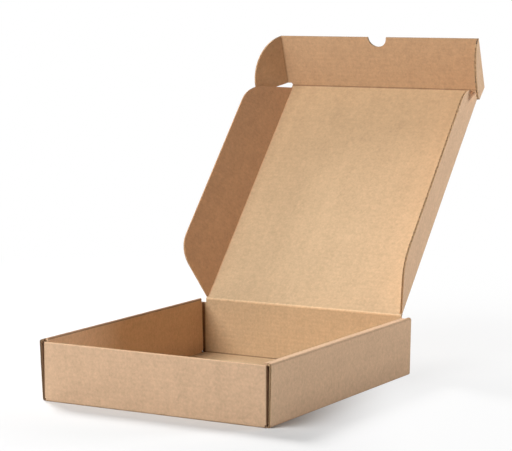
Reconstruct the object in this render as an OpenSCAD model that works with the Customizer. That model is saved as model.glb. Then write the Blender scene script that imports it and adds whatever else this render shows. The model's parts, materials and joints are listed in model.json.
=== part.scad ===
// Presentation box: a roll-end mailer, die-cut and folded from one sheet of single-wall board.
// Sizes are in millimetres. The origin is the centre of the base, on the floor.
// X runs to the right, Y from the front wall to the hinge, Z up. The lid stands open.

/* [Tray] */
// Width over the side walls at their foot
tray_w = 330; // [260:1:420]
// Depth over the front and rear walls
tray_d = 380.5; // [300:0.5:460]
// Height of the side walls
tray_h = 77.5; // [72:0.5:120]
// How far the left side wall leans out at its top
left_lean = 3.7; // [0:0.1:4]
// How far the right side wall leans out at its top
right_lean = 1.7; // [0:0.1:4]
// How far the left inner side panel's top edge stands above the outer one's
left_rise = 3.2; // [0:0.1:4]
// How far the right inner side panel's top edge stands above the outer one's
right_rise = 0; // [0:0.1:4]
// How far the left inner side panel leans outwards at its top
left_inner_lean = 2.6; // [0:0.1:2.8]
// How far the right inner side panel leans outwards at its top
right_inner_lean = 0.6; // [0:0.1:2.8]
// How far the front wall's top lies below the side walls' tops
front_drop = 2; // [0.5:0.1:5]
// Foot of the roll-over side walls, from the outer to the inner face
roll_w = 11.7; // [11:0.1:16]
// Retreat of the outer side panels' front edges behind the front wall's face
front_inset = 2; // [0.5:0.1:4]
// Gap between the front wall's end folds and the outer side panels
ear_slot = 0.6; // [0.3:0.1:1.5]
// Length of the four corner flaps inside the side walls
corner_flap_l = 68; // [30:1:100]
// Gap between an inner side panel and the rear wall
rear_gap = 7; // [1:0.5:15]

/* [Board] */
// Thickness of the board
board = 2.8; // [2.4:0.1:3.2]
// Distance from one flute to the next
flute_pitch = 6.4; // [5:0.1:8]
// Thickness of each flat liner
liner = 0.4; // [0.3:0.05:0.5]
// Thickness of the wavy medium between the liners
medium = 0.35; // [0.25:0.05:0.45]
// Width of board that each crease crushes flat
crushed_w = 4; // [3:0.5:6]
// Thickness of the board where a crease crushes it
crushed_t = 1.8; // [1.4:0.1:2.2]
// Inside radius of a fold in the tray
fold_r = 0.4; // [0.2:0.1:0.8]
// Outside radius of a fold in the tray
fold_out = 2; // [1:0.1:2.8]
// Outside radius of the folds on top of the side walls
roll_out = 3.2; // [1:0.1:3.2]
// Free gap between a panel and the round edge that it folds about
crease_gap = 0.3; // [0.2:0.05:0.5]

/* [Locking tabs] */
// Width of each locking tab at its root
tab_w = 46; // [30:1:70]
// Distance between the middles of the two tabs of one side
tab_spacing = 190; // [120:1:230]
// Free play round a tab in its slot
tab_play = 0.25; // [0.2:0.05:0.5]

/* [Lid] */
// Angle by which the lid stands open, from shut
lid_open = 130.9; // [95:0.1:180]
// Gap between the shut lid and the side walls
lid_gap = 0.3; // [0.2:0.1:1]
// Gap between the hanging front flap and the front wall
tuck_gap = 2; // [1:0.5:5]
// Gap between a folded side flap and the inner side panel, in all on one side
side_play = 0.6; // [0.4:0.1:2]
// Gap between the side flaps' front ends and the front wall, with the lid shut
front_play = 0.8; // [0.8:0.1:8]

/* [Side flaps] */
// Width of the two side flaps, from crease to free edge
side_flap_w = 69.2; // [40:0.1:70]
// Fold of the left side flap, from flat
left_side_fold = 61; // [45:1:89]
// Fold of the right side flap, from flat
right_side_fold = 76.9; // [45:1:89]
// How far a side flap's rear end retreats for each millimetre of its width
rear_taper = 0.58; // [0.4:0.01:0.8]
// How far a side flap's front end retreats for each millimetre of its width
front_taper = 0.65; // [0.4:0.01:0.8]
// Radius of a side flap's two free corners
side_flap_r = 44; // [10:1:48]
// Distance of a side flap's rear end from the hinge
side_flap_inset = 1.5; // [1:0.5:8]

/* [Front flap] */
// Width of the front flap, from crease to free edge
front_flap_w = 78; // [60:1:78]
// Fold of the front flap, from flat
front_fold = 58.4; // [20:0.1:90]
// Distance of the ears' outer faces from the outer side panels, in all on one side
ear_inset = 4.6; // [3.5:0.1:8]
// Radius of the thumb notch in the free edge
notch_r = 14.7; // [8:0.1:20]

/* [Ears] */
// Length of an ear, from crease to tip
ear_l = 56; // [35:1:70]
// Distance of an ear's lower edge from the front crease
ear_offset = 4.7; // [4:0.1:8]
// Height of the straight part of an ear's tip
ear_straight = 13; // [12:1:40]
// Radius of an ear's lower corner
ear_corner_r = 7; // [3:0.5:14]
// Fold of the left ear, from flat
left_ear_fold = 59; // [0:1:90]
// Fold of the right ear, from flat
right_ear_fold = 75.2; // [0:0.1:90]

/* [Hidden] */

// Straight faces that stand for each round edge and for each rounded corner or fold
edge_steps = 8;
corner_steps = 6;

// Heights and places of the tray's walls; each is the middle of the board unless it says otherwise
half = board / 2;
bend_out = fold_r + board;
wall_y = tray_d / 2 - half;
front_h = tray_h - front_drop;
outer_x = tray_w / 2 - half;
inner_x = tray_w / 2 - roll_w + half;
fold_x = tray_w / 2 - board - ear_slot - half;
wall_flat_x = fold_x + half - bend_out;
// Where the strip on top of a side wall passes the front wall's end
strip_split_x = fold_x + half + ear_slot / 2;
// Free height between the flaps inside the side walls and the board round them
inside_gap = 0.8;
flap_low = board + inside_gap;
flap_high = tray_h - board - inside_gap;
// Depth of a wall's end fold, with the short flat behind its bend
end_fold_reach = bend_out + 0.2;
// Retreat of the outer panels' rear edges behind the rear wall's face
rear_inset = 0.5;
// Overlap of two parts of the sheet where they run on into each other
lap = 1;

// The lid's hinge and creases
hinge_y = wall_y;
hinge_z = tray_h + lid_gap + half;
crease_start = half + crease_gap;
side_crease_x = inner_x - half - side_play - half;
front_crease = hinge_y + tray_d / 2 + tuck_gap + half;
ear_crease_x = tray_w / 2 - ear_inset - half;
// Front end of a side flap at its crease, so that it clears the front wall's inner face
side_flap_front = hinge_y + tray_d / 2 - board - front_play + front_taper * (hinge_z - front_h);

liner_colour = "#CFA678";
inside_colour = "#DDB88C";
flap_colour = "#C79A6B";

function left_of(v) = [-v[1], v[0]];
function unit(v) = v / norm(v);
function turned(v, a) = [v[0] * cos(a) - v[1] * sin(a), v[0] * sin(a) + v[1] * cos(a)];
function turn_between(a, b) = atan2(a[0] * b[1] - a[1] * b[0], a * b);

// Outline with rounded corners, from a list of [x, y, radius]
function rounded(corners) = let (n = len(corners)) [
    for (i = [0 : n - 1])
        let (
            p = corners[i],
            at = [p[0], p[1]],
            before = corners[(i + n - 1) % n],
            after = corners[(i + 1) % n],
            way_in = unit(at - [before[0], before[1]]),
            turn = turn_between(way_in, unit([after[0], after[1]] - at)),
            side = sign(turn),
            r = p[2],
            centre = at - way_in * r * tan(abs(turn) / 2) + left_of(way_in) * r * side
        )
        for (k = [0 : r > 0 ? corner_steps : 0])
            r > 0 ? centre - turned(left_of(way_in), turn * k / corner_steps) * r * side : at
];

// Path moved to its left by d, with mitred corners
function beside(path, d) = let (end = len(path) - 1) [
    for (i = [0 : end])
        let (
            before = left_of(unit(path[max(i, 1)] - path[max(i, 1) - 1])),
            after = left_of(unit(path[min(i, end - 1) + 1] - path[min(i, end - 1)]))
        )
        path[i] + (before + after) * d / (1 + before * after)
];

// Outline of board that follows a path and is folded at the path's corners
function folded_board(path, outer_r = fold_out) =
    let (
        end = len(path) - 1,
        side = [for (i = [0 : end]) i == 0 || i == end ? 0
            : sign(turn_between(path[i] - path[i - 1], path[i + 1] - path[i]))],
        left = beside(path, half),
        right = beside(path, -half)
    )
    rounded(concat(
        [for (i = [0 : end]) [left[i][0], left[i][1], side[i] == 0 ? 0 : side[i] > 0 ? fold_r : outer_r]],
        [for (i = [end : -1 : 0]) [right[i][0], right[i][1], side[i] == 0 ? 0 : side[i] > 0 ? outer_r : fold_r]]
    ));

// Prism whose outline lies in the YZ plane, from x0 on
module along_x(x0, length) {
    translate([x0, 0, 0]) rotate([90, 0, 90]) linear_extrude(length) children();
}

// Prism whose outline lies in the XZ plane, from y0 on
module along_y(y0, length) {
    translate([0, y0 + length, 0]) rotate([90, 0, 0]) linear_extrude(length) children();
}

// Half-round edge of a board panel; its flat back lies on the local YZ plane
module round_edge(length) {
    linear_extrude(length, center = true)
        polygon([for (k = [0 : edge_steps]) half * [sin(180 * k / edge_steps), -cos(180 * k / edge_steps)]]);
}

// Flat board panel in the XY plane, from its outline
module panel(outline) {
    linear_extrude(board, center = true) polygon(outline);
}

module both_sides() {
    children();
    mirror([1, 0, 0]) children();
}

// One hollow between the wavy medium and the liner above it
module flute_hollow() {
    crest = half - liner;
    wave = crest - medium / 2;
    reach = 0.42;
    polygon([
        for (share = [-reach, -0.2, 0, 0.2, reach])
            [share * flute_pitch, min(crest - 0.05, medium * 0.6 - wave * cos(360 * share))],
        [reach * flute_pitch, crest],
        [-reach * flute_pitch, crest]
    ]);
}

// Section of corrugated board across its flutes
module flute_section(length) {
    count = floor(length / flute_pitch - 0.5);
    difference() {
        translate([0, -half]) square([length, board]);
        for (i = [0 : count]) {
            if (i > 0) translate([i * flute_pitch, 0]) flute_hollow();
            if (i < count) translate([(i + 0.5) * flute_pitch, 0]) mirror([0, 1]) flute_hollow();
        }
    }
}

// Corrugated panel in the XY plane: its flutes run along X and are open at its free edges. Beside
// its crease the board is crushed on the inner side, where the flap folds up to its neighbour.
module corrugated_panel(outline, width, length) {
    intersection() {
        linear_extrude(board * 2, center = true) polygon(outline);
        union() {
            along_x(0, crushed_w) translate([0, -half]) square([length, crushed_t]);
            along_x(crushed_w, width - crushed_w) flute_section(length);
        }
    }
}

// Front wall, floor and the lower part of the rear wall, folded up from one strip
module base_strip() {
    path = [[-wall_y, front_h], [-wall_y, half], [wall_y, half], [wall_y, flap_high]];
    difference() {
        along_x(-wall_flat_x, 2 * wall_flat_x) polygon(folded_board(path));
        both_sides() tab_slots();
    }
}

// Upper part of the rear wall, with the round edge that the lid turns about
module hinge_edge() {
    width = 2 * (side_crease_x + half);
    translate([-width / 2, wall_y - half, flap_high - lap]) cube([width, board, hinge_z - flap_high + lap]);
    translate([0, hinge_y, hinge_z]) rotate([0, -90, 0]) round_edge(width);
}

// One side wall: the outer side panel is folded up from the floor, rolls over along the strip on
// top, and comes down as the inner side panel, whose two locking tabs stand in the floor
module side_wall(lean, rise, inner_lean) {
    foot_z = board + crease_gap;
    outer_edge = [outer_x + lean, tray_h - half];
    inner_edge = [inner_x + inner_lean, tray_h - half + rise];
    strip = unit(inner_edge - outer_edge);
    split = outer_edge + strip * (strip_split_x - outer_edge[0]) / strip[0];
    height = norm(inner_edge - [inner_x, foot_z]);
    down = unit([inner_x, foot_z] - inner_edge);
    front = end_fold_reach + crease_gap - tray_d / 2;
    rear = tray_d / 2 - board - rear_gap;
    along_y(front_inset - tray_d / 2, tray_d - front_inset - rear_inset)
        polygon(folded_board([[wall_flat_x - lap, half], [outer_x, half], outer_edge, split], roll_out));
    along_y(front, rear - front)
        polygon(folded_board([split - strip * lap, inner_edge, inner_edge + down * (bend_out + lap)], roll_out));
    translate([inner_x, 0, foot_z]) rotate([0, atan2(inner_lean, inner_edge[1] - foot_z), 0])
        along_x(-half, board) polygon([
            [front, height - bend_out], [front, 2 * board], [front + 2 * board, 0],
            [rear - 2 * board, 0], [rear, 2 * board], [rear, height - bend_out]
        ]);
    along_x(inner_x - half, board)
        for (y = [-tab_spacing / 2, tab_spacing / 2]) translate([y, 0]) locking_tab(foot_z);
}

// Locking tab below an inner side panel, a little narrower at its tip
module locking_tab(root_z) {
    tip_z = crease_gap;
    narrow = board;
    polygon([
        [-tab_w / 2, root_z + lap], [-tab_w / 2, root_z], [narrow - tab_w / 2, tip_z],
        [tab_w / 2 - narrow, tip_z], [tab_w / 2, root_z], [tab_w / 2, root_z + lap]
    ]);
}

// Slots in the floor that take the locking tabs of one side
module tab_slots() {
    for (y = [-tab_spacing / 2, tab_spacing / 2])
        translate([inner_x - half - tab_play, y - tab_w / 2 - tab_play, -lap])
            cube([board + 2 * tab_play, tab_w + 2 * tab_play, board + 2 * lap]);
}

// Fold at the end of an end wall, in plan, from the wall to `reach` behind its outer face
module wall_end_fold(reach, top) {
    path = [[wall_flat_x - lap, -wall_y], [fold_x, -wall_y], [fold_x, reach - tray_d / 2]];
    translate([0, 0, flap_low]) linear_extrude(top - flap_low) polygon(folded_board(path));
}

// Corner flap inside a side wall, with its slanted free end
module corner_flap() {
    start = bend_out - tray_d / 2;
    end = corner_flap_l - tray_d / 2;
    slant = 3 * board;
    wall_end_fold(bend_out + lap, flap_high);
    along_x(fold_x - half, board)
        polygon([
            [start, flap_low], [end - slant, flap_low], [end, flap_low + slant],
            [end, flap_high - slant], [end - slant, flap_high], [start, flap_high]
        ]);
}

module tray() {
    color(liner_colour) {
        base_strip();
        hinge_edge();
        side_wall(right_lean, right_rise, right_inner_lean);
        mirror([1, 0, 0]) side_wall(left_lean, left_rise, left_inner_lean);
        both_sides() {
            corner_flap();
            wall_end_fold(end_fold_reach, front_h);
            mirror([0, 1, 0]) corner_flap();
        }
    }
}

// Frame of the lid: Y runs from the hinge to the front crease, Z is the inner face's side
module in_lid() {
    translate([0, hinge_y, hinge_z]) rotate([180 - lid_open, 0, 0]) children();
}

// Frame of the front flap: Y runs from its crease to its free edge
module in_front_flap() {
    in_lid() translate([0, front_crease, 0]) rotate([front_fold, 0, 0]) children();
}

// Frame of a flap that folds about a line along Y at x: X runs from the crease to its free edge
module folded_at(x, fold) {
    translate([x, 0, 0]) rotate([0, -fold, 0]) children();
}

module lid() {
    length = front_crease - crease_start;
    color(inside_colour) in_lid() {
        translate([-side_crease_x, crease_start, -half]) cube([2 * side_crease_x, length, board]);
        translate([0, front_crease, 0]) rotate([90, 0, 90]) round_edge(2 * side_crease_x);
        both_sides()
            translate([side_crease_x, crease_start + length / 2, 0]) rotate([90, 0, 0]) round_edge(length);
    }
}

// Side flap: a long trapezium with slanted ends and widely rounded free corners
module side_flap() {
    outline = rounded([
        [crease_start, side_flap_inset + rear_taper * crease_start, 0],
        [side_flap_w, side_flap_inset + rear_taper * side_flap_w, side_flap_r],
        [side_flap_w, side_flap_front - front_taper * side_flap_w, side_flap_r],
        [crease_start, side_flap_front - front_taper * crease_start, 0]
    ]);
    corrugated_panel(outline, side_flap_w, front_crease);
}

module left_side_flap() {
    color(flap_colour) in_lid() mirror([1, 0, 0]) folded_at(side_crease_x, left_side_fold) side_flap();
}

module right_side_flap() {
    color(flap_colour) in_lid() folded_at(side_crease_x, right_side_fold) side_flap();
}

// Front flap: wider than the lid above its first few millimetres, with a thumb notch
module front_flap() {
    narrow_x = side_crease_x;
    step_x = narrow_x + half;
    notch = [
        for (k = [0 : 2 * edge_steps])
            [0, front_flap_w] + notch_r * [cos(180 * k / (2 * edge_steps)), -sin(180 * k / (2 * edge_steps))]
    ];
    straight = front_flap_w - ear_offset;
    color(inside_colour) in_front_flap() {
        panel(concat(
            [[narrow_x, crease_start], [step_x, ear_offset], [ear_crease_x, ear_offset]],
            [[ear_crease_x, front_flap_w]],
            notch,
            [[-ear_crease_x, front_flap_w]],
            [[-ear_crease_x, ear_offset], [-step_x, ear_offset], [-narrow_x, crease_start]]
        ));
        both_sides()
            translate([ear_crease_x, ear_offset + straight / 2, 0]) rotate([90, 0, 0]) round_edge(straight);
    }
}

// Ear: straight below and at its tip, then a quarter of an ellipse up to the free edge
module ear() {
    last = acos(crease_start / ear_l);
    rise = (front_flap_w - ear_straight) / sin(last);
    outline = concat(
        [[crease_start, ear_offset]],
        [for (p = rounded([
            [crease_start, ear_offset, 0], [ear_l, ear_offset, ear_corner_r], [ear_l, ear_straight, 0]
        ])) if (p[0] > crease_start) p],
        [for (k = [1 : 2 * corner_steps])
            let (a = last * k / (2 * corner_steps)) [ear_l * cos(a), ear_straight + rise * sin(a)]]
    );
    corrugated_panel(outline, ear_l, front_flap_w);
}

module left_ear() {
    color(flap_colour) in_front_flap() mirror([1, 0, 0]) folded_at(ear_crease_x, left_ear_fold) ear();
}

module right_ear() {
    color(liner_colour) in_front_flap() folded_at(ear_crease_x, right_ear_fold) ear();
}

tray();
lid();
left_side_flap();
right_side_flap();
front_flap();
left_ear();
right_ear();
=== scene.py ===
"""Presentation box: a roll-end mailer of kraft board that stands open on a pale floor."""

import json
import math

import bmesh
import bpy
from mathutils import Matrix, Vector


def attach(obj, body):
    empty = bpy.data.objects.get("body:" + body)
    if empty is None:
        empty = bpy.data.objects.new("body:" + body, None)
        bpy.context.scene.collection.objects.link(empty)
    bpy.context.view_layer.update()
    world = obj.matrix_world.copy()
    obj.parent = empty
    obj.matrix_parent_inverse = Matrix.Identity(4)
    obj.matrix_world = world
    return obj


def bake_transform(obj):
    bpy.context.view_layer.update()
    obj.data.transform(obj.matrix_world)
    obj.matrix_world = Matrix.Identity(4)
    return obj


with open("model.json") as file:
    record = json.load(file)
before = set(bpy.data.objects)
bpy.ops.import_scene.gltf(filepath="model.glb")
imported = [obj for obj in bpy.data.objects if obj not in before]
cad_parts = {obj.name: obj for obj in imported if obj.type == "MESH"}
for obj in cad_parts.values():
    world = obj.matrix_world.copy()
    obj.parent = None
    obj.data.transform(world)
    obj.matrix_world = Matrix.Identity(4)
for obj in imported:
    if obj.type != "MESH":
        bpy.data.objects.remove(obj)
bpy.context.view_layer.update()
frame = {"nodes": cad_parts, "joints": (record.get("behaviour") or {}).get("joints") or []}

MM = 0.001
X = Vector((1, 0, 0))
Y = Vector((0, 1, 0))
Z = Vector((0, 0, 1))

# The board, and the pitch of its flutes
HALF_BOARD = 1.4 * MM
LINER = 0.4 * MM
FLUTE_PITCH = 6.4 * MM

# The photographed folds, in degrees from flat
LID_OPEN = 130.9
LEFT_SIDE_FOLD = 61
RIGHT_SIDE_FOLD = 76.9
FRONT_FOLD = 58.4
LEFT_EAR_FOLD = 59
RIGHT_EAR_FOLD = 75.2

# Heights of the tray and of its front wall, and the middles of the board of the end walls and of
# the side walls' foot, with how far the side walls' tops lean out
TRAY_HEIGHT = 77.5 * MM
FRONT_HEIGHT = 75.5 * MM
END_MIDDLE = 188.85 * MM
SIDE_MIDDLE = 163.6 * MM
LEFT_LEAN = 3.7 * MM
RIGHT_LEAN = 1.7 * MM
LID_DEPTH = 380 * MM


def joint_place(name):
    """The point that a crease turns about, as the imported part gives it."""
    return Vector(next(j["pos_m"] for j in frame["joints"] if j["name"] == name))


class Panel:
    """A flat panel: along its flutes, across them, and out of its inner face."""

    def __init__(self, at, flutes, across, inner):
        self.at = at
        self.flutes = flutes
        self.across = across
        self.inner = inner


def folded(panel, at, heading, degrees):
    """The panel beyond a crease that lies ahead, folded by so much towards the inner side."""
    turn = math.radians(degrees)
    ahead = heading * math.cos(turn) + panel.inner * math.sin(turn)
    inner = panel.inner * math.cos(turn) - heading * math.sin(turn)
    if abs(heading.dot(X)) < 0.5:
        return Panel(at, panel.flutes, ahead, inner)
    return Panel(at, ahead, panel.across, inner)


hinge = joint_place("lid_hinge")
front_crease = joint_place("front_flap_fold")
rear_wall = Panel(hinge, X, Z, -Y)
lid_panel = folded(rear_wall, hinge, Z, 90 - LID_OPEN)
left_flap_panel = folded(lid_panel, joint_place("left_side_flap_fold"), -X, LEFT_SIDE_FOLD)
right_flap_panel = folded(lid_panel, joint_place("right_side_flap_fold"), X, RIGHT_SIDE_FOLD)
front_flap_panel = folded(lid_panel, front_crease, lid_panel.across, FRONT_FOLD)
left_ear_panel = folded(front_flap_panel, joint_place("left_ear_fold"), -X, LEFT_EAR_FOLD)
right_ear_panel = folded(front_flap_panel, joint_place("right_ear_fold"), X, RIGHT_EAR_FOLD)


class Strand:
    """A value on its way through a material; sums on it add their nodes."""

    def __init__(self, finish, socket):
        self.finish = finish
        self.socket = socket

    def __add__(self, other):
        return self.finish.sum("ADD", self, other)

    __radd__ = __add__

    def __sub__(self, other):
        return self.finish.sum("SUBTRACT", self, other)

    def __rsub__(self, other):
        return self.finish.sum("SUBTRACT", other, self)

    def __mul__(self, other):
        return self.finish.sum("MULTIPLY", self, other)

    __rmul__ = __mul__

    def __abs__(self):
        return self.finish.sum("ABSOLUTE", self, 0)


class Finish:
    """One material, and the ways to put nodes into it."""

    def __init__(self, owner):
        owner.use_nodes = True
        self.owner = owner
        self.nodes = owner.node_tree.nodes
        self.links = owner.node_tree.links
        self.nodes.clear()

    def node(self, kind, settings=None, inputs=None, output=0):
        """Adds a node: its settings first, then the values or strands of its sockets."""
        made = self.nodes.new(kind)
        for name, value in (settings or {}).items():
            setattr(made, name, value)
        for name, value in (inputs or {}).items():
            if isinstance(value, Strand):
                self.links.new(value.socket, made.inputs[name])
            else:
                made.inputs[name].default_value = value
        return Strand(self, made.outputs[output]) if made.outputs else made

    def coordinates(self):
        return self.node("ShaderNodeTexCoord", output="Object")

    def facing(self):
        return self.node("ShaderNodeTexCoord", output="Normal")

    def sum(self, operation, a, b):
        return self.node("ShaderNodeMath", {"operation": operation}, {0: a, 1: b})

    def wave(self, value):
        return self.node("ShaderNodeMath", {"operation": "COSINE"}, {0: value})

    def step(self, value, low, high):
        """0 below low and 1 above high, with a smooth rise between."""
        settings = {"interpolation_type": "SMOOTHSTEP"}
        return self.node("ShaderNodeMapRange", settings, {0: value, 1: low, 2: high})

    def dot(self, vector, direction):
        settings = {"operation": "DOT_PRODUCT"}
        return self.node("ShaderNodeVectorMath", settings, {0: vector, 1: direction}, "Value")

    def place(self, a, b, c):
        return self.node("ShaderNodeCombineXYZ", inputs={0: a, 1: b, 2: c})

    def noise(self, place, scale, detail=2.0, roughness=0.5):
        """Soft random patches, about 0 on the whole, at so many a metre."""
        inputs = {"Vector": place, "Scale": scale, "Detail": detail, "Roughness": roughness}
        return self.node("ShaderNodeTexNoise", inputs=inputs) - 0.5

    def mixed(self, share, a, b):
        """Colour a where share is 0, and b where it is 1."""
        settings = {"data_type": "RGBA"}
        return self.node("ShaderNodeMix", settings, {0: share, 6: a, 7: b}, 2)

    def scaled(self, colour, factor):
        """The colour lightened or darkened; a plain colour leaves its alpha behind."""
        plain = colour if isinstance(colour, Strand) else colour[:3]
        settings = {"operation": "SCALE"}
        return self.node("ShaderNodeVectorMath", settings, {0: plain, "Scale": factor})

    def length(self, vector):
        return self.node("ShaderNodeVectorMath", {"operation": "LENGTH"}, {0: vector}, "Value")

    def minus(self, a, b):
        return self.node("ShaderNodeVectorMath", {"operation": "SUBTRACT"}, {0: a, 1: b})

    def cross(self, a, b):
        return self.node("ShaderNodeVectorMath", {"operation": "CROSS_PRODUCT"}, {0: a, 1: b})

    def bump(self, height, distance):
        inputs = {"Height": height, "Distance": distance, "Strength": 1.0}
        return self.node("ShaderNodeBump", inputs=inputs)

    def surface(self, inputs):
        shader = self.node("ShaderNodeBsdfPrincipled", inputs=inputs)
        self.node("ShaderNodeOutputMaterial", inputs={"Surface": shader})
        return self.owner


# Tones of the sheet: its two liners, its cut edges, painted light on some inner liners, and painted
# shade for the hollows of its flutes and for dim places
OUTER_KRAFT = (0.64, 0.43, 0.275, 1)
INNER_KRAFT = (0.584, 0.369, 0.212, 1)
# Painted light: an inner liner paler than the sheet's own, standing in for more light on the tray's
# inside and on the lid near its hinge
PAINTED_LIGHT_INNER = (0.63, 0.45, 0.275, 1)
LID_INNER = (0.562, 0.375, 0.215, 1)
# Painted light: a redder inner liner for the side flaps, standing in for warm light bounced inside
# the box
PAINTED_BOUNCE_INNER = (0.62, 0.37, 0.21, 1)
CUT_EDGE = (0.55, 0.36, 0.2, 1)
# Painted shade: the near-black of the flutes' hollows at cut edges
PAINTED_HOLLOW_SHADE = (0.07, 0.034, 0.014, 1)
# Painted shade: the dark colour that the liner is mixed towards in creases, corners, slots and
# along crease lines
SHADE = (0.13, 0.055, 0.02, 1)
PLAIN_SURFACE = {"Roughness": 0.88, "Specular IOR Level": 0.2}

# How far the liner's grain stands up, for the light that falls on it
GRAIN_HEIGHT = 1.0 * MM


def kraft(finish, coordinates, along, across, tone, shade=0.0):
    """The liner's colour, from its plain tone with painted shade mixed in, and its surface's
    height.
    """
    fibres = finish.noise(coordinates, 330, 2, 0.6)
    flecks = finish.noise(coordinates, 150, 2, 0.6)
    clouds = finish.noise(coordinates, 24, 2)
    bands = finish.noise(finish.place(along, across * 0.04, 0.0), 48, 2, 0.6)
    washboard = finish.wave(across * (2 * math.pi / FLUTE_PITCH))
    specks = finish.step(finish.noise(coordinates, 700, 0), 0.24, 0.34)
    mottle = fibres * 0.34 + flecks * 0.26 + clouds * 0.12 + bands * 0.14 + washboard * 0.006
    colour = finish.mixed(shade, finish.scaled(tone, 1 + mottle - specks * 0.1), SHADE)
    return colour, washboard * 0.03 + fibres * 0.05 + flecks * 0.02


def slit(finish, depth, along):
    """1 where painted shade marks the gaps between the liners, off the wavy medium, of an edge
    along the flutes.
    """
    drift = finish.noise(finish.place(along, 0.0, 0.0), 14, 1) * (2.2 * MM)
    medium = 1 - finish.step(abs(depth - drift), 0.15 * MM, 0.28 * MM)
    gap = 1 - finish.step(abs(depth), 0.9 * MM, 1.0 * MM)
    return gap * (1 - medium)


def board_surface(finish, coordinates, liner, height, edge, hollow):
    """The liner, and the cut board where `edge` is 1, with painted shade in its hollows."""
    fuzz = finish.noise(coordinates, 1400, 2)
    cut = finish.scaled(finish.mixed(hollow, CUT_EDGE, PAINTED_HOLLOW_SHADE), 1 + fuzz * 0.5)
    inputs = {
        "Base Color": finish.mixed(edge, liner, cut),
        "Normal": finish.bump(height, GRAIN_HEIGHT),
    }
    return finish.surface(PLAIN_SURFACE | inputs)


def board_finish(name, panel, inner_tones, slits_from=None):
    """Board of one panel, whose inner liner goes from one tone at its crease to another; on the lid
    this is painted light, paler towards the hinge.

    The cut edges across its flutes show their hollows in painted shade, or else, where `slits_from`
    is given, only the edges further than that from the crease show, as slits along the flutes in
    painted shade.
    """
    finish = Finish(bpy.data.materials.new(name))
    coordinates = finish.coordinates()
    facing = finish.facing()
    along = finish.dot(coordinates, panel.flutes) - panel.at.dot(panel.flutes)
    across = finish.dot(coordinates, panel.across) - panel.at.dot(panel.across)
    depth = finish.dot(coordinates, panel.inner) - panel.at.dot(panel.inner)
    front = finish.dot(facing, panel.inner)
    edge = 1 - finish.step(abs(front), 0.3, 0.5)
    # Painted light: on the lid the inner tone is paler towards the hinge
    tone = finish.mixed(finish.step(across, 0.0, LID_DEPTH), *inner_tones)
    tone = finish.mixed(finish.step(front, 0.1, -0.1), tone, OUTER_KRAFT)
    liner, height = kraft(finish, coordinates, along, across, tone)
    # Painted shade in the flutes' hollows, on their own faces or as slits
    if slits_from is None:
        inside = 1 - finish.step(abs(depth), HALF_BOARD - 1.15 * LINER, HALF_BOARD - 1.05 * LINER)
        hollow = inside * (1 - finish.step(abs(finish.dot(facing, panel.flutes)), 0.3, 0.45))
    else:
        edge = edge * finish.step(across, slits_from, slits_from + MM)
        hollow = slit(finish, depth, along)
    return board_surface(finish, coordinates, liner, height, edge, hollow)


def tray_finish(name):
    """Board of the tray: its flutes stand upright in the side walls and lie along X elsewhere."""
    finish = Finish(bpy.data.materials.new(name))
    coordinates = finish.coordinates()
    facing = finish.facing()
    x = finish.dot(coordinates, X)
    y = finish.dot(coordinates, Y)
    z = finish.dot(coordinates, Z)
    to_side = finish.dot(facing, X)
    to_end = finish.dot(facing, Y)
    up = finish.dot(facing, Z)
    upright = finish.step(abs(to_side), 0.5, 0.6)
    left = finish.step(x, 0.01, -0.01)
    along = x + upright * (z - x)
    across = y + z - upright * z
    # The inner liner shows on the floor and on the inner faces of the front and rear walls
    outwards = to_end * y
    within = finish.step(abs(y), 189 * MM, 188 * MM) * finish.step(outwards, -0.02, -0.06)
    on_floor = finish.step(up, 0.5, 0.7) * finish.step(z, 5 * MM, 4 * MM)
    inner = within + on_floor
    # Painted shade where less light reaches: the creases at the floor's ends, the hollow side
    # walls, the slots beside the end walls and, on the left more than on the right, the strips on
    # top of the side walls
    crease_y = finish.step(abs(abs(y) - 187.2 * MM), 1.6 * MM, 0.4 * MM)
    crease_z = finish.step(abs(z - 3 * MM), 1.6 * MM, 0.4 * MM)
    deep = finish.step(abs(x), 153.5 * MM, 155 * MM) * inner * finish.step(z, 2 * MM, 3 * MM)
    in_slot = finish.step(abs(x), 159.4 * MM, 161 * MM) * finish.step(abs(x), 162 * MM, 161.8 * MM)
    in_slot = in_slot * finish.step(abs(y), 180 * MM, 184 * MM)
    strip = finish.step(up, 0.2, 0.5) * finish.step(abs(x), 152 * MM, 153 * MM)
    strip = strip * finish.step(z, 50 * MM, 60 * MM)
    shade = crease_y * crease_z * 0.6 + deep * 0.75 + in_slot * 0.85 + strip * (0.2 + left * 0.45)
    # Painted highlight: a paler band along the top of the front wall's outer face
    front_top_highlight = finish.step(y, -189 * MM, -190 * MM) * finish.step(z, 74.3 * MM, 75 * MM)
    # Painted light: the tray's inner faces take the paler inner tone
    tone = finish.scaled(finish.mixed(inner, OUTER_KRAFT, PAINTED_LIGHT_INNER), 1 + front_top_highlight * 0.3)
    liner, height = kraft(finish, coordinates, along, across, tone, shade)
    # Cut edges: the front wall's top, and the front and rear edges of the outer side panels
    on_side = finish.step(abs(x), 161.7 * MM, 162 * MM)
    side_cut = on_side * finish.step(abs(to_end), 0.7, 0.8)
    front_top = finish.step(abs(z - FRONT_HEIGHT), 0.5 * MM, 0.3 * MM)
    front_top = front_top * finish.step(y, -184 * MM, -185 * MM)
    front_cut = front_top * finish.step(up, 0.7, 0.8) * (1 - on_side)
    lean = finish.step(z, 0.0, TRAY_HEIGHT) * (RIGHT_LEAN + left * (LEFT_LEAN - RIGHT_LEAN))
    # Painted shade in the cut edges' hollows: slits on the side panels' edges, fainter on the front
    # wall's top
    side_hollow = slit(finish, abs(x) - SIDE_MIDDLE - lean, z)
    # Painted shade: on the left the side panels' cut edges are darker still
    side_hollow = side_hollow + (1 - side_hollow) * left * 0.7
    front_hollow = slit(finish, abs(y) - END_MIDDLE, x) * 0.35
    hollow = side_hollow * side_cut + front_hollow * front_cut
    return board_surface(finish, coordinates, liner, height, side_cut + front_cut, hollow)


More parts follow.
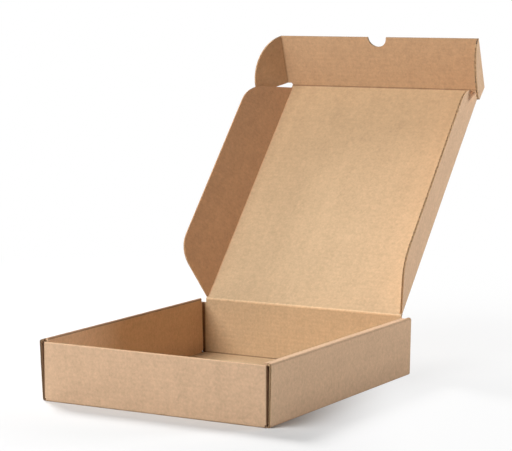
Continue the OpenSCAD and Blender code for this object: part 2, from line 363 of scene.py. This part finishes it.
def fold_finish(name, at, crease, tone, shade, shade_from, shade_to):
    """Liner over a fold, darker with painted shade by `shade`, or with a painted highlight below 0,
    so far from the crease's line.
    """
    finish = Finish(bpy.data.materials.new(name))
    coordinates = finish.coordinates()
    along = finish.dot(coordinates, X)
    across = finish.dot(coordinates, crease)
    away = finish.length(finish.cross(finish.minus(coordinates, at), crease))
    wander = away + finish.noise(coordinates, 60, 2) * (1.2 * MM)
    line = finish.step(wander, shade_from - 0.3 * MM, shade_from + 0.3 * MM)
    line = line * finish.step(wander, shade_to + 0.3 * MM, shade_to - 0.3 * MM)
    tone = finish.scaled(tone, 1 + line * max(-shade, 0))
    liner, height = kraft(finish, coordinates, along, across, tone, line * max(shade, 0))
    inputs = {"Base Color": liner, "Normal": finish.bump(height, GRAIN_HEIGHT)}
    return finish.surface(PLAIN_SURFACE | inputs)


def dress(name, finish):
    """Gives the whole of a solid one finish."""
    for material_slot in frame["nodes"][name].material_slots:
        material_slot.material = finish


# The lid has no free edge, so its slits start past its end; the front flap's, short of its notch
PAST_END = 1.0
SHORT_OF_NOTCH = 55 * MM

dress("tray", tray_finish("kraft_board_of_tray"))
for name, panel, inner_tones, slits_from in (
    ("lid", lid_panel, (PAINTED_LIGHT_INNER, LID_INNER), PAST_END),
    ("left_side_flap", left_flap_panel, (PAINTED_BOUNCE_INNER, PAINTED_BOUNCE_INNER), None),
    ("right_side_flap", right_flap_panel, (PAINTED_BOUNCE_INNER, PAINTED_BOUNCE_INNER), None),
    ("front_flap", front_flap_panel, (INNER_KRAFT, INNER_KRAFT), SHORT_OF_NOTCH),
    ("left_ear", left_ear_panel, (INNER_KRAFT, INNER_KRAFT), None),
    ("right_ear", right_ear_panel, (INNER_KRAFT, INNER_KRAFT), None),
):
    dress(name, board_finish(f"kraft_board_of_{name}", panel, inner_tones, slits_from))


def new_piece(name, mesh):
    """The object of a piece, from its finished mesh."""
    data = bpy.data.meshes.new(name)
    mesh.to_mesh(data)
    mesh.free()
    piece = bpy.data.objects.new(name, data)
    bpy.context.scene.collection.objects.link(piece)
    return piece


def slice_mesh(mesh, at, direction, clear_outer=False):
    """Cuts all of the mesh along a plane, and clears what lies beyond it where asked."""
    everything = mesh.verts[:] + mesh.edges[:] + mesh.faces[:]
    bmesh.ops.bisect_plane(
        mesh, geom=everything, plane_co=at, plane_no=direction, clear_outer=clear_outer
    )


# The liner over a fold: its thickness, how far it stands over the board's face and how far its
# ends dip below that, the radius on a fold's hollow side, and the lengths of its flat ends
SKIN = 0.12 * MM
SKIN_OVER = 0.03 * MM
SKIN_DIP = 0.08 * MM
HOLLOW_RADIUS = 0.4 * MM
NEAR_FLAT = 1.2 * MM
END_SLOPE = 0.4 * MM
FOLD_STEPS = 6


def fold_skin(name, panel, beyond, side, start, end, reach, trims):
    """The liner over a fold, from `panel` to `beyond`, on the inner face (side 1) or the outer.

    Its section is drawn as a line, in (ahead, along, out), and swept along the crease. It runs flat
    for `reach` behind the fold, and its ends dip just below the board's faces. Each trim is a place
    along the crease and the slant of the flap's end there.
    """
    out = panel.inner * side
    if abs(panel.flutes.dot(beyond.flutes)) > 0.9999:
        ahead, new_ahead, crease = panel.across, beyond.across, panel.flutes
    else:
        ahead, new_ahead, crease = X * math.copysign(1, beyond.at.x), beyond.flutes, panel.across
    turn = math.atan2(new_ahead.dot(out), new_ahead.dot(ahead))
    face = HALF_BOARD + SKIN_OVER
    dip = Vector((0, 0, SKIN_DIP))
    if turn > 0:
        tangent = (face + HOLLOW_RADIUS) * math.tan(turn / 2)
        centre = Vector((-tangent, 0, face + HOLLOW_RADIUS))
        arc_start = Vector((-tangent, 0, face))
        axis = (0, -1, 0)
    else:
        centre = Vector((0, 0, 0))
        arc_start = Vector((0, 0, face))
        axis = (0, 1, 0)
    heading = Vector((math.cos(turn), 0, math.sin(turn)))
    lift = Vector((-math.sin(turn), 0, math.cos(turn)))
    mesh = bmesh.new()

    def drawn_on(point, to):
        grown = bmesh.ops.extrude_vert_indiv(mesh, verts=[point])
        grown["verts"][0].co = to
        return grown["verts"][0]

    point = mesh.verts.new(arc_start - Vector((NEAR_FLAT + END_SLOPE, 0, 0)) - dip)
    point = drawn_on(point, arc_start - Vector((NEAR_FLAT, 0, 0)))
    point = drawn_on(point, arc_start)
    spun = bmesh.ops.spin(
        mesh, geom=[point], cent=centre, axis=axis, angle=abs(turn), steps=FOLD_STEPS,
        use_duplicate=False,
    )
    point = next(g for g in spun["geom_last"] if isinstance(g, bmesh.types.BMVert))
    point = drawn_on(point, point.co + heading * reach)
    drawn_on(point, point.co + heading * END_SLOPE - lift * SKIN_DIP)
    swept = bmesh.ops.extrude_edge_only(mesh, edges=mesh.edges[:])
    moved = [g for g in swept["geom"] if isinstance(g, bmesh.types.BMVert)]
    bmesh.ops.translate(mesh, verts=mesh.verts[:], vec=(0, start, 0))
    bmesh.ops.translate(mesh, verts=moved, vec=(0, end - start, 0))
    bmesh.ops.remove_doubles(mesh, verts=mesh.verts[:], dist=1e-7)
    for at, slant in trims:
        away = heading * abs(slant) + Vector((0, math.copysign(1, slant), 0))
        slice_mesh(mesh, (0, at, 0), away, clear_outer=True)
    bmesh.ops.recalc_face_normals(mesh, faces=mesh.faces[:])
    if mesh.faces[0].normal.z < 0:
        bmesh.ops.reverse_faces(mesh, faces=mesh.faces[:])
    bmesh.ops.solidify(mesh, geom=mesh.faces[:], thickness=SKIN)
    place = Matrix((ahead, crease, out)).transposed().to_4x4()
    place.translation = beyond.at
    bmesh.ops.transform(mesh, matrix=place, verts=mesh.verts[:])
    bmesh.ops.recalc_face_normals(mesh, faces=mesh.faces[:])
    return new_piece(name, mesh), ahead, new_ahead, crease


# Distance from a crease on either side of it; the points at this distance are worked out but not
# used
HELD = 1.5 * MM


def folded_liner(name, bodies, panel, beyond, start, end, reaches, trims, lines, inner_tone):
    """Both liners over one crease: the inner one, then the outer one.

    Each line is its painted shade, or below 0 its painted highlight, and between which distances
    from the crease it shows.
    """
    for side, word, reach, line in zip((1, -1), ("inner", "outer"), reaches, lines):
        piece, ahead, new_ahead, crease = fold_skin(
            f"{name}_liner_{word}", panel, beyond, side, start, end, reach, trims
        )
        shade, shade_from, shade_to = line
        piece.data.materials.append(
            fold_finish(
                f"{name}_{word}", beyond.at, crease, inner_tone if side == 1 else OUTER_KRAFT,
                shade, shade_from, shade_to,
            )
        )
        near = beyond.at - ahead * HELD
        beyond.at + new_ahead * HELD
        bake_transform(piece)


# How far the liner runs flat behind a fold
NARROW = 2.4 * MM
WIDE = 4.3 * MM
# Half the lengths of the hinge and of the front crease, and the ear creases' ends
HALF_HINGE = 152.6 * MM
HALF_FRONT_CREASE = 151.2 * MM
EAR_CREASE = (5 * MM, 77.6 * MM)
# Where the side flaps' front and rear ends leave their creases, and how they slant
SIDE_TRIMS = ((377.9 * MM, 0.65), (1.5 * MM, -0.58))
# The faint dark line over the outside of every fold
OUTER_LINE = (0.1, 0, 1.8 * MM)

# The inner lines are a painted highlight along the hinge's crest and painted shade along the other
# creases
folded_liner(
    "hinge", ("tray", "lid"), rear_wall, lid_panel, -HALF_HINGE, HALF_HINGE, (NARROW, NARROW), (),
    ((-0.3, 0, 1.9 * MM), OUTER_LINE), PAINTED_LIGHT_INNER,
)
folded_liner(
    "front_crease", ("lid", "front_flap"), lid_panel, front_flap_panel,
    -HALF_FRONT_CREASE, HALF_FRONT_CREASE, (NARROW, NARROW), (),
    ((0.5, 1.3 * MM, 2.4 * MM), OUTER_LINE), INNER_KRAFT,
)
for word, flap, ear in (
    ("left", left_flap_panel, left_ear_panel), ("right", right_flap_panel, right_ear_panel)
):
    folded_liner(
        f"{word}_side_crease", ("lid", f"{word}_side_flap"), lid_panel, flap, 0, LID_DEPTH,
        (WIDE, NARROW), SIDE_TRIMS, ((0.05, 1.4 * MM, 2.4 * MM), OUTER_LINE), PAINTED_BOUNCE_INNER,
    )
    folded_liner(
        f"{word}_ear_crease", ("front_flap", f"{word}_ear"), front_flap_panel, ear, *EAR_CREASE,
        (WIDE, NARROW), (), ((0.2, 1.4 * MM, 3.2 * MM), OUTER_LINE), INNER_KRAFT,
    )


def plug_board():
    """Crushed medium and liner: cut paper without a pattern of its own."""
    finish = Finish(bpy.data.materials.new("kraft_board_crushed"))
    coordinates = finish.coordinates()
    fuzz = finish.noise(coordinates, 900, 3)
    inputs = {
        "Base Color": finish.scaled(CUT_EDGE, 1.15 + fuzz * 0.6),
        "Normal": finish.bump(fuzz, 0.3 * MM),
    }
    return finish.surface(PLAIN_SURFACE | inputs)


plug_finish = plug_board()

# Share of each flute over which the cut pinched its hollow shut
PINCH = 0.58
# The crushed ribbon: its distance from the cut edge, its thickness, its foot's height over the
# flap's outer face, and the heights of the part that is whole and of the part with gaps
RIBBON_INSET = 0.5 * MM
RIBBON = 0.1 * MM
RIBBON_FOOT = 0.35 * MM
WHOLE_PART = 1.15 * MM
GAPPED_PART = 0.9 * MM


def flute_plugs(name, panel):
    """What the die crushed of a flap's flutes: a ribbon that follows the flap's edge inside it.

    It closes the hollows of the outer liner's side, and pinches those of the inner liner's side at
    each crest of the flutes. It starts as the flap's outer face, from which its outline comes.
    """
    node = frame["nodes"][name]
    mesh = bmesh.new()
    mesh.from_mesh(node.data)
    bmesh.ops.transform(mesh, matrix=node.matrix_world, verts=mesh.verts[:])
    others = [
        f for f in mesh.faces
        if f.normal.dot(panel.inner) > -0.99
        or (f.calc_center_median() - panel.at).dot(panel.inner) > 0.1 * MM - HALF_BOARD
    ]
    bmesh.ops.delete(mesh, geom=others, context="FACES")
    bmesh.ops.remove_doubles(mesh, verts=mesh.verts[:], dist=1e-6)
    bmesh.ops.inset_region(mesh, faces=mesh.faces[:], thickness=RIBBON_INSET, use_boundary=True)
    ring = [f for f in mesh.faces if any(e.is_boundary for e in f.edges)]
    bmesh.ops.delete(mesh, geom=ring, context="FACES")
    rim = [e for e in mesh.edges if e.is_boundary]
    bmesh.ops.translate(mesh, verts=mesh.verts[:], vec=panel.inner * RIBBON_FOOT)
    for height in (WHOLE_PART, GAPPED_PART):
        grown = bmesh.ops.extrude_edge_only(mesh, edges=rim)
        moved = [g for g in grown["geom"] if isinstance(g, bmesh.types.BMVert)]
        rim = [g for g in grown["geom"] if isinstance(g, bmesh.types.BMEdge)]
        rim = [e for e in rim if all(v in moved for v in e.verts)]
        bmesh.ops.translate(mesh, verts=moved, vec=panel.inner * height)
    flat = [f for f in mesh.faces if abs(f.normal.dot(panel.inner)) > 0.9]
    bmesh.ops.delete(mesh, geom=flat, context="FACES")
    places = [(v.co - panel.at).dot(panel.across) for v in mesh.verts]
    for crest in range(int(min(places) / FLUTE_PITCH), int(max(places) / FLUTE_PITCH) + 1):
        for share in (0.5 - PINCH / 2, 0.5 + PINCH / 2):
            at = panel.at + panel.across * (crest + share) * FLUTE_PITCH
            slice_mesh(mesh, at, panel.across)
    gaps = []
    for face in mesh.faces:
        place = face.calc_center_median() - panel.at
        share = place.dot(panel.across) / FLUTE_PITCH % 1
        if place.dot(panel.inner) > 0.1 * MM and abs(share - 0.5) > PINCH / 2:
            gaps.append(face)
    bmesh.ops.delete(mesh, geom=gaps, context="FACES")
    bmesh.ops.recalc_face_normals(mesh, faces=mesh.faces[:])
    bmesh.ops.solidify(mesh, geom=mesh.faces[:], thickness=RIBBON)
    bmesh.ops.recalc_face_normals(mesh, faces=mesh.faces[:])
    piece = new_piece(f"{name}_crushed_flutes", mesh)
    piece.data.materials.append(plug_finish)
    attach(piece, name)


for name, panel in (
    ("left_side_flap", left_flap_panel), ("right_side_flap", right_flap_panel),
    ("left_ear", left_ear_panel), ("right_ear", right_ear_panel),
):
    flute_plugs(name, panel)


def white_to_eye(finish):
    """1 where the camera, or a mirror or glass, sees the surface."""
    seen = finish.node("ShaderNodeLightPath", output="Is Camera Ray")
    mirrored = finish.node("ShaderNodeLightPath", output="Is Glossy Ray")
    through = finish.node("ShaderNodeLightPath", output="Is Transmission Ray")
    return finish.node(
        "ShaderNodeMath", {"operation": "ADD", "use_clamp": True}, {0: seen + mirrored, 1: through}
    )


WHITE = (1, 1, 1, 1)
FLOOR_GREY = (0.66, 0.66, 0.66, 1)
# Level direction from the box to the side on which its broad shadow falls
SHADOW_SIDE = Vector((0.87, 0.5, 0))


def pale_floor():
    """A floor that takes the box's shadow in full at its front, and paler at its right."""
    mesh = bmesh.new()
    bmesh.ops.create_grid(mesh, x_segments=1, y_segments=1, size=14)
    floor = new_piece("floor", mesh)
    finish = Finish(bpy.data.materials.new("pale_floor"))
    matt = finish.node("ShaderNodeBsdfDiffuse", inputs={"Color": FLOOR_GREY})
    glow = finish.node("ShaderNodeEmission", inputs={"Color": WHITE, "Strength": 1.0})
    coordinates = finish.coordinates()
    away = finish.length(coordinates)
    right = finish.dot(coordinates, SHADOW_SIDE)
    share = 0.8 * finish.step(right, 0.05, 0.22) + 0.06 * finish.step(right, 0.22, 0.5)
    share = share + (1 - share) * finish.step(away, 0.5, 1.3)
    share = white_to_eye(finish) * share
    shader = finish.node("ShaderNodeMixShader", inputs={0: share, 1: matt, 2: glow})
    finish.node("ShaderNodeOutputMaterial", inputs={"Surface": shader})
    floor.data.materials.append(finish.owner)


# What the lamps are aimed at
CENTRE = Vector((0, 0.15, 0.15))


def softbox(name, place, size, power):
    light = bpy.data.lights.new(name, "AREA")
    light.shape = "DISK"
    light.size = size
    light.energy = power
    lamp = bpy.data.objects.new(name, light)
    lamp.location = place
    lamp.rotation_euler = (CENTRE - Vector(place)).to_track_quat("-Z", "Y").to_euler()
    bpy.context.scene.collection.objects.link(lamp)


def studio_air(strength):
    """Even light from all round, which the camera sees as white."""
    bpy.context.scene.world = bpy.data.worlds.new("studio_air")
    air = Finish(bpy.context.scene.world)
    lit = air.node("ShaderNodeBackground", inputs={"Color": WHITE, "Strength": strength})
    seen = air.node("ShaderNodeBackground", inputs={"Color": WHITE, "Strength": 1.0})
    both = air.node("ShaderNodeMixShader", inputs={0: white_to_eye(air), 1: lit, 2: seen})
    air.node("ShaderNodeOutputWorld", inputs={"Surface": both})


pale_floor()
studio_air(0.02)
softbox("front_softbox", (-1.1, -1.8, 2.4), 2.4, 106)
softbox("left_softbox", (-2.2, 1.17, 2.23), 1.0, 112)
softbox("right_softbox", (2.4, 2.2, 0.75), 1.2, 60)

camera_data = bpy.data.cameras.new("photo_camera")
camera_data.sensor_width = 36
camera_data.lens = 143.58
camera_data.clip_end = 60
camera = bpy.data.objects.new("photo_camera", camera_data)
camera.location = (1.33413, -2.24458, 0.5278)
# Round to the right, up from straight down, and the photo's small roll, in degrees
turn = Matrix.Identity(3)
for degrees, axis in ((30.02, "Z"), (90 - 6.9, "X"), (-0.12, "Z")):
    turn @= Matrix.Rotation(math.radians(degrees), 3, axis)
camera.rotation_euler = turn.to_euler()
bpy.context.scene.collection.objects.link(camera)
bpy.context.scene.camera = camera
bpy.context.scene.view_settings.view_transform = "Standard"
